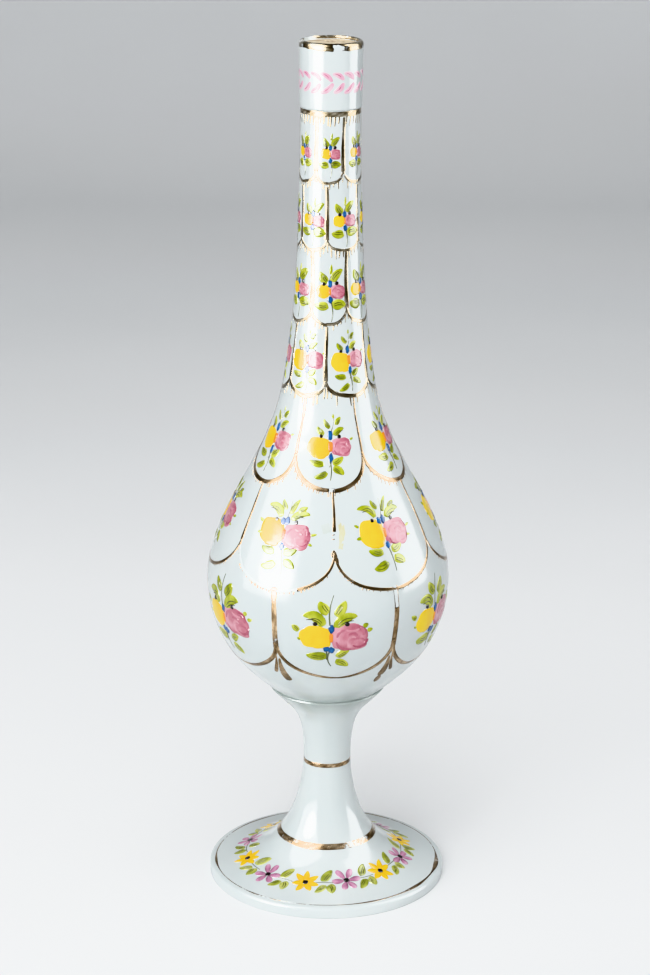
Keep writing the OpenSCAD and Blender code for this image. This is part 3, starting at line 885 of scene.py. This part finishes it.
FULL = {
    "yellow": ((-4.3, 0.3), (9.6, 9.6)), "pink": ((4.4, -0.4), (9.8, 8.6)),
    "orange": ((0.1, 0.0), (1.1, 3.0)),
    "leaves": [((-2.0, 5.2), (-7.6, 8.4), 3.1, -0.26), ((-0.4, 8.0), (-2.2, 11.2), 2.0, 0.1),
               ((1.2, 6.6), (3.4, 11.6), 1.9, 0.06), ((1.8, 4.6), (7.8, 6.8), 3.0, 0.2),
               ((3.6, 7.6), (6.4, 9.4), 2.2, 0.0), ((-2.0, -5.8), (-7.0, -5.0), 2.9, 0.1),
               ((-1.2, -9.2), (-6.4, -11.2), 3.4, 0.12), ((1.0, -5.6), (5.4, -4.0), 3.4, -0.1),
               ((1.4, -8.6), (5.8, -10.8), 3.3, 0.08), ((-8.4, 2.8), (-9.8, 3.6), 1.3, 0.0),
               ((-8.3, -0.6), (-9.9, -1.0), 1.2, 0.0), ((9.0, 0.4), (10.8, 0.7), 1.1, 0.0),
               ((8.8, -2.4), (10.2, -2.8), 1.0, 0.0)],
    "stems": [((-0.1, 4.6), (0.8, 11.4), -0.05, 0.34), ((0.1, -4.4), (1.5, -13.0), 0.03, 0.55)],
    "blue": [((-1.0, 4.0), (1.9, 2.4)), ((0.5, 4.3), (1.8, 2.8)), ((0.2, -4.0), (1.7, 2.4))],
    "black": [(-3.4, 4.4), (3.6, 4.2)], "dot": 1.35,
}
SLIM = {
    "yellow": ((-2.0, -0.3), (4.2, 4.4)), "pink": ((2.2, -0.5), (4.8, 4.5)),
    "orange": ((0.0, -0.5), (0.7, 2.2)),
    "leaves": [((-0.6, 2.4), (-2.9, 6.0), 3.0, 0.1), ((0.7, 2.6), (3.9, 6.4), 3.2, 0.1),
               ((0.3, 5.0), (0.6, 8.2), 1.1, 0.0), ((-0.5, -4.8), (-4.8, -4.4), 3.6, 0.1),
               ((0.6, -5.2), (5.2, -5.0), 4.0, 0.1)],
    "stems": [((-0.1, 3.0), (0.5, 7.6), -0.06, 0.40), ((0.1, -3.0), (0.3, -10.4), 0.08, 0.56)],
    "blue": [((0.0, 2.0), (1.6, 2.4)), ((0.1, -3.1), (1.7, 2.2))],
    "black": [(-1.8, 2.0), (2.0, 2.2)], "dot": 1.3,
}
# Each row's bouquet: its pattern, the height of its middle, its scale across and up, and how many
# degrees the three on the front stand beside their cells' middles
BOUQUETS = [(SLIM, 247.3, 0.72, 0.78, (1, 1, 2)), (SLIM, 226.2, 0.92, 0.86, (0, 1, 0)),
            (SLIM, 204.0, 1.05, 0.97, (0, 1, 0)), (TALL, 181.6, 0.76, 0.88, (0, 1, 2)),
            (TALL, 155.2, 1.0, 1.0, (0, 0.8, 4)), (FULL, 129.4, 1.0, 1.0, (-2, -1, 0)),
            (WIDE, 98.2, 1.0, 1.0, (-3, -2.7, -2))]


def bouquet(coats, where, pattern, wide, high):
    """One bouquet: leaves first, then stems, flowers, the orange between them, buds and dots."""
    sway = math.radians(RNG.uniform(-3.5, 3.5))
    turn = np.array([[math.cos(sway), math.sin(sway)], [-math.sin(sway), math.cos(sway)]])
    scale = np.array([wide, high]) * RNG.uniform(0.96, 1.04)

    def put(point):
        return (np.asarray(point) * scale) @ turn

    size = math.sqrt(wide * high)
    for start, end, width, bend in pattern["leaves"]:
        a, b = put(start), put(end) + RNG.normal(0, 0.12, 2)
        leaf(coats, where, a, b, width * size * RNG.uniform(0.9, 1.1), bend, 2 if width > 1.8 else 0)
    for start, end, bend, width in pattern["stems"]:
        stroke(coats["stem"], where, curve_uv(put(start), put(end), bend, 14),
               width * size ** 0.5 * np.linspace(1.1, 0.6, 14), ENAMEL_T * 0.8, 0.5, 5)
    for kind in ("yellow", "pink"):
        centre, spread = pattern[kind]
        flower(coats, where, put(centre), np.array(spread) * scale * RNG.uniform(0.97, 1.05, 2), kind)
    centre, spread = pattern["orange"]
    blob(coats["orange"], where, put(centre), np.array(spread) * scale, 0.05, 3, ENAMEL_T * 0.6, n=9,
         base=ENAMEL_T * 1.0, square=0.4)
    for centre, spread in pattern["blue"]:
        blob(coats["blue"], where, put(centre), np.array(spread) * size, 0.08, 4, ENAMEL_T * 1.4, n=11,
             tone=lambda rho, theta: 0.3 + 0.5 * rho, base=ENAMEL_T * 0.6)
    for centre in pattern["black"]:
        blob(coats["black"], where, put(centre), np.full(2, pattern["dot"] * size ** 0.5), 0.03, 3,
             ENAMEL_T * 1.6, n=11, base=ENAMEL_T * 0.8)


def make_bouquets():
    """A bouquet in each cell of the scale pattern."""
    coats = {kind: Coat() for kind in BOUQUET_PAINT}
    for n, (pattern, height, wide, high, beside) in enumerate(BOUQUETS):
        middles = cells(n)
        side = off_by(middles, 0)
        nearest = np.argsort(np.abs(side))[:3]
        nudge = np.zeros(CELLS)
        nudge[nearest] = np.where(side[nearest] < 0, beside[0], beside[2])
        nudge[nearest[0]] = beside[1]
        for angle in middles + np.radians(nudge):
            bouquet(coats, (angle, at_height(height)), pattern, wide, high)
    for kind, coat in coats.items():
        coat.piece("bouquet_" + kind, BOUQUET_PAINT[kind], "opal_glass")


def make_wreath():
    """Wreath on the foot: flowers, mauve and yellow by turns, on a stem with three leaves between
    each two. It runs up to 2 mm outwards at the left of the front."""
    coats = {kind: Coat() for kind in WREATH_PAINT}
    count, ring_r = 12, 25.7
    start = at_radius(ring_r)
    pitch = 2 * math.pi / count
    for k in range(count):
        out = 2.0 * max(0.0, math.cos((k + 0.5) * pitch + 1.05))
        where = ((k + 0.5) * pitch, start - out + RNG.uniform(-0.4, 0.4))
        kind, petals = ("mauve", 6) if k % 2 == 0 else ("yellow", 7)
        turn = RNG.uniform(0, 1)
        for p in range(petals):
            a = turn + p * 2 * math.pi / petals + RNG.uniform(-0.1, 0.1)
            reach = RNG.uniform(4.5, 5.1)
            way = np.array([math.cos(a), math.sin(a)])
            t = np.linspace(0, 1, 11)
            path = way * (0.6 + (reach - 0.6) * t)[:, None]
            if kind == "mauve":
                width = 2.5 * np.sin(math.pi * (0.03 + 0.92 * t ** 1.3)) ** 0.6
            else:
                width = 2.5 * np.sin(math.pi * (0.20 + 0.78 * t)) ** 0.8
            shade = 0.70 - 0.45 * t[:, None] + 0.28 * np.abs(np.linspace(-1, 1, 7))
            stroke(coats[kind], where, path, width, ENAMEL_T, shade, ends=0.25)
        blob(coats["heart"], where, (0, 0), (2.1, 2.0), 0.05, 4, ENAMEL_T * 1.6, n=11, base=ENAMEL_T * 0.5)
        span = pitch * ring_r
        stroke(coats["stem"], where, curve_uv((3.2, 0.2), (span - 3.4, 0.2), RNG.uniform(-0.06, 0.06), 16),
               0.34, ENAMEL_T * 0.7, 0.3, 5)
        mid = span / 2 + RNG.uniform(-0.4, 0.4)
        for u, v, du, dv, width in ((-0.9, 0.7, 1.8, 4.8, 3.9), (-0.4, -0.6, -2.6, -4.0, 3.3),
                                    (0.9, -0.7, 2.1, -3.9, 3.2)):
            size = RNG.uniform(0.88, 1.12)
            leaf(coats, where, (mid + u, v), (mid + u + du * size, v + dv * size), width * size, 0.1, 2)
    for kind, coat in coats.items():
        coat.piece("wreath_" + kind, WREATH_PAINT[kind], "opal_glass")


def make_chevrons():
    """Pink leaves in pairs round the collar, that point to the right, with darker touches on them."""
    coat = Coat()
    count = 17
    for k in range(count):
        where = ((k + 0.67) * 2 * math.pi / count, at_height(269.0))
        for (u, v), (to_u, to_v), width, bend in (((-2.1, 2.8), (1.7, 0.75), 1.9, 0.14),
                                                  ((-2.0, -3.0), (1.6, -0.2), 2.1, -0.12)):
            a = np.array((u, v)) + RNG.normal(0, 0.12, 2)
            b = np.array((to_u, to_v)) + RNG.normal(0, 0.15, 2)
            t = np.linspace(0, 1, 14)
            body = width * np.sin(math.pi * (0.05 + 0.88 * t)) ** 0.65
            shade = 0.02 + 0.42 * t[:, None] * (1 - 0.5 * np.linspace(-1, 1, 7)) + 0.15 * RNG.random()
            stroke(coat, where, curve_uv(a, b, bend, 14), body, ENAMEL_T * 0.8, shade)
            c, d = a * 0.85 + b * 0.15, a * 0.25 + b * 0.75
            edge = np.array((0.0, 0.35 if v > 0 else -0.1))
            stroke(coat, where, curve_uv(c + edge, d + edge, bend, 9),
                   0.5 * np.sin(math.pi * np.linspace(0.1, 0.9, 9)), ENAMEL_T * 0.4, 0.95, 5, ENAMEL_T * 0.7)
    coat.piece("collar_chevrons", ROSE_PINK, "opal_glass")


def make_stains():
    """Faint stains beside the line on the front of the worn row: two ochre ones and two grey ones."""
    ochre, grey = Coat(), Coat()
    where, film = (ROWS[WORN_ROW]["lines"][1], at_height(131.0)), ENAMEL_T * 0.2
    blob(ochre, where, (2.3, -0.4), (2.2, 6.8), 0.22, 3, film, square=0.5)
    blob(ochre, where, (2.0, -4.6), (1.6, 2.2), 0.2, 4, film, square=0.5)
    blob(grey, where, (-2.6, 1.0), (3.2, 3.6), 0.14, 4, film, square=0.4)
    blob(grey, where, (1.2, 3.4), (1.4, 3.4), 0.2, 4, film, square=0.3)
    ochre.piece("stain_ochre", STAIN, "opal_glass")
    grey.piece("stain_grey", GREY_STAIN, "opal_glass")


make_bouquets()
make_wreath()
make_chevrons()
make_stains()


# Insert

def brass_finish(name):
    """Old brass: dull and dusty, browned in blotches, with a fine grain."""
    f = Finish(name, Metallic=0.6)
    age = f.noise(300.0, 5.0, 0.6)
    f.feed("Base Color", f.ramp(age, (0.35, linear(150, 132, 108)), (0.65, linear(212, 198, 174))))
    f.feed("Roughness", f.level(age, 0.3, 0.7, 0.62, 0.46))
    f.bump(f.noise(2200.0, 3.0), 0.2, 0.00004)
    return f.material


def cork_finish():
    """Cork: warm tan grain with dark pits."""
    f = Finish("cork", Roughness=0.9)
    pits = f.node("ShaderNodeTexVoronoi", {"Vector": f.place((1, 1, 0.6))}, Scale=900.0)
    dark = f.level(pits.outputs["Distance"], 0.05, 0.25, 1.0, 0.0)
    grain = f.ramp(f.noise(600.0, 6.0), (0.3, linear(150, 112, 76)), (0.7, linear(198, 160, 118)))
    f.feed("Base Color", f.mix(f.math("MULTIPLY", dark, 0.7), grain, linear(84, 56, 36)))
    f.bump(pits.outputs["Distance"], 0.5, 0.0002)
    return f.material


for node, material in (("rose", brass_finish("rose_brass")), ("ferrule", brass_finish("ferrule_brass")),
                       ("cork_bush", cork_finish())):
    for material_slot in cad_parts[node].material_slots:
        material_slot.material = material


# Stage

# Where the lights look, in metres
AIM = Vector((0, 0, 0.16))


def make_stage():
    """Pale floor that curves up into a backdrop: a profile carried sideways."""
    depth, rise, bend = 1.6, 1.5, 0.5
    turn = np.linspace(0, math.pi / 2, 24)
    y = np.r_[-2.5, depth - bend, depth - bend + bend * np.sin(turn), depth]
    z = np.r_[0, 0, bend - bend * np.cos(turn), rise + bend]
    x = np.linspace(-3.5, 3.5, 3)
    points = np.stack(np.broadcast_arrays(x[None, :], y[:, None], z[:, None]), -1)
    mesh = bpy.data.meshes.new("floor")
    mesh.from_pydata(points.reshape(-1, 3).tolist(), [], grid_faces(len(y), 3).tolist())
    mesh.polygons.foreach_set("use_smooth", np.ones(len(mesh.polygons), bool))
    f = Finish("floor_paper", Roughness=0.85)
    pale, paler = linear(226, 227, 228), linear(231, 232, 233)
    f.feed("Base Color", f.ramp(f.noise(3.0, 2.0), (0.3, pale), (0.7, paler)))
    mesh.materials.append(f.material)
    floor = bpy.data.objects.new("floor", mesh)
    bpy.context.scene.collection.objects.link(floor)


def softbox(name, azimuth, elevation, distance, size, power, sheen, shape="RECTANGLE"):
    """An area light at an angle round the object, from the front, that looks at its middle. One with
    sheen shows in the gloss alone, the others light the surfaces alone."""
    a, e = math.radians(azimuth), math.radians(elevation)
    back = Vector((math.sin(a) * math.cos(e), -math.cos(a) * math.cos(e), math.sin(e)))
    data = bpy.data.lights.new(name, "AREA")
    data.shape = shape
    data.size, data.size_y = size
    data.energy = power
    light = bpy.data.objects.new(name, data)
    turn = back.to_track_quat("Z", "Y").to_matrix().to_4x4()
    light.matrix_world = Matrix.Translation(AIM + back * distance) @ turn
    light.visible_diffuse, light.visible_glossy = not sheen, sheen
    bpy.context.scene.collection.objects.link(light)


def make_lights():
    """Large soft lights from the front left and above, dim surroundings, and close softboxes at both
    sides, whose reflections wash over the paint, the left one with a hotter middle."""
    softbox("key", -26, 12, 1.2, (1.0, 1.0), 10.4, False)
    softbox("front", -15, 48, 1.2, (0.8, 0.8), 7.4, False)
    softbox("fill", 75, 20, 1.2, (1.0, 1.0), 3.4, False)
    softbox("top", 0, 75, 1.2, (1.0, 1.0), 10.6, False)
    softbox("softbox_left", -60, 28, 0.57, (0.60, 0.85), 23.5, True)
    softbox("softbox_left_middle", -51, 7, 0.44, (0.27, 0.24), 18.0, True, "ELLIPSE")
    softbox("softbox_right", 89, 28, 0.52, (0.34, 0.80), 11.2, True)
    world = bpy.data.worlds.new("studio")
    bpy.context.scene.world = world
    bpy.context.scene.view_settings.view_transform = "Khronos PBR Neutral"
    world.use_nodes = True
    world.node_tree.nodes["Background"].inputs["Color"].default_value = (0.93, 0.97, 1.0, 1)
    world.node_tree.nodes["Background"].inputs["Strength"].default_value = 0.45


def make_camera():
    """The photograph's camera: where it stood, how far it looked down, and its focal length in pixels."""
    distance, height, pitch, roll = 0.85, 0.4082, math.radians(17.79), math.radians(0.32)
    focal_px, frame_px = 2743.0, 975.0
    data = bpy.data.cameras.new("camera")
    data.sensor_width = 36.0
    data.lens = focal_px / frame_px * data.sensor_width
    camera = bpy.data.objects.new("camera", data)
    look = Matrix.Rotation(math.pi / 2 - pitch, 4, "X") @ Matrix.Rotation(roll, 4, "Z")
    camera.matrix_world = Matrix.Translation((-0.00115, -distance, height)) @ look
    bpy.context.scene.collection.objects.link(camera)
    bpy.context.scene.camera = camera


make_stage()
make_lights()
make_camera()
